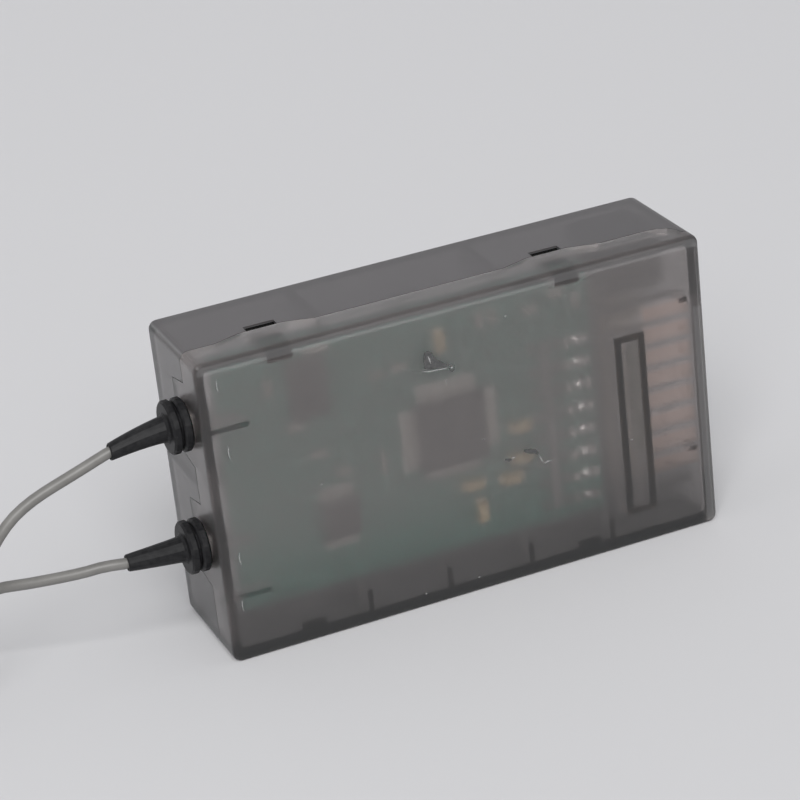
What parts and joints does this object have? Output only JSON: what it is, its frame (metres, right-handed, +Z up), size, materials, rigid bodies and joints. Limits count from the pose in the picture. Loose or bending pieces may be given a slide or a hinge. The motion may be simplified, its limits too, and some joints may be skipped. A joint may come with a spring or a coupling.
{
  "type": "radio control receiver",
  "caption": "Translucent two-part receiver housing over a green board, with a socket for servo plugs in one end and two antenna leads in rubber boots at the other.",
  "frame": {"origin": "on the floor, below the middle of the housing, which stands on its long side", "axes": "+X along the housing towards the plug socket, +Y through the thin direction towards the deep rear case, +Z up"},
  "size_m": [0.1267, 0.0166, 0.0328],
  "materials": {
    "smoke_plastic": "satin smoke-tinted translucent polycarbonate",
    "green_laminate": "glass-epoxy laminate under green solder mask",
    "black_epoxy": "moulded black plastic",
    "gold_plate": "gold-plated brass pins, soldered at the board",
    "tinned_copper": "tinned, dull",
    "tan_ceramic": "moulded tan body",
    "pale_terminals": "pale ceramic with tinned ends",
    "aluminium_can": "drawn can, satin",
    "black_rubber": "moulded, slightly glossy",
    "grey_coax": "grey fluoropolymer jacket",
    "clear_insulation": "pale inner insulation"
  },
  "bodies": {
    "root": {"front_cover": "smoke_plastic", "rear_case": "smoke_plastic", "main_board": "green_laminate", "header_block": "black_epoxy", "pin_signal_1": "gold_plate", "pin_signal_2": "gold_plate", "pin_signal_3": "gold_plate", "pin_signal_4": "gold_plate", "pin_signal_5": "gold_plate", "pin_signal_6": "gold_plate", "pin_signal_7": "gold_plate", "pin_signal_8": "gold_plate", "pin_power_1": "gold_plate", "pin_power_2": "gold_plate", "pin_power_3": "gold_plate", "pin_power_4": "gold_plate", "pin_power_5": "gold_plate", "pin_power_6": "gold_plate", "pin_power_7": "gold_plate", "pin_power_8": "gold_plate", "pin_ground_1": "gold_plate", "pin_ground_2": "gold_plate", "pin_ground_3": "gold_plate", "pin_ground_4": "gold_plate", "pin_ground_5": "gold_plate", "pin_ground_6": "gold_plate", "pin_ground_7": "gold_plate", "pin_ground_8": "gold_plate", "ground_bus": "tinned_copper", "microcontroller": "black_epoxy", "memory_chip": "black_epoxy", "radio_chip": "black_epoxy", "capacitor_1": "tan_ceramic", "capacitor_2": "tan_ceramic", "capacitor_3": "tan_ceramic", "capacitor_4": "tan_ceramic", "capacitor_5": "tan_ceramic", "capacitor_6": "tan_ceramic", "resistor_1": "pale_terminals", "resistor_2": "pale_terminals", "resistor_3": "pale_terminals", "resistor_4": "pale_terminals", "resistor_5": "pale_terminals", "resistor_6": "pale_terminals", "resistor_7": "pale_terminals", "resistor_8": "pale_terminals", "resistor_9": "pale_terminals", "supply_capacitor": "aluminium_can", "voltage_regulator": "black_epoxy", "crystal": "aluminium_can", "upper_boot": "black_rubber", "lower_boot": "black_rubber", "antenna_lead_upper": "grey_coax", "antenna_lead_lower": "grey_coax", "antenna_coil_upper": "grey_coax", "antenna_coil_lower": "grey_coax", "antenna_tip_upper": "clear_insulation", "antenna_tip_lower": "clear_insulation"}
  },
  "joints": []
}
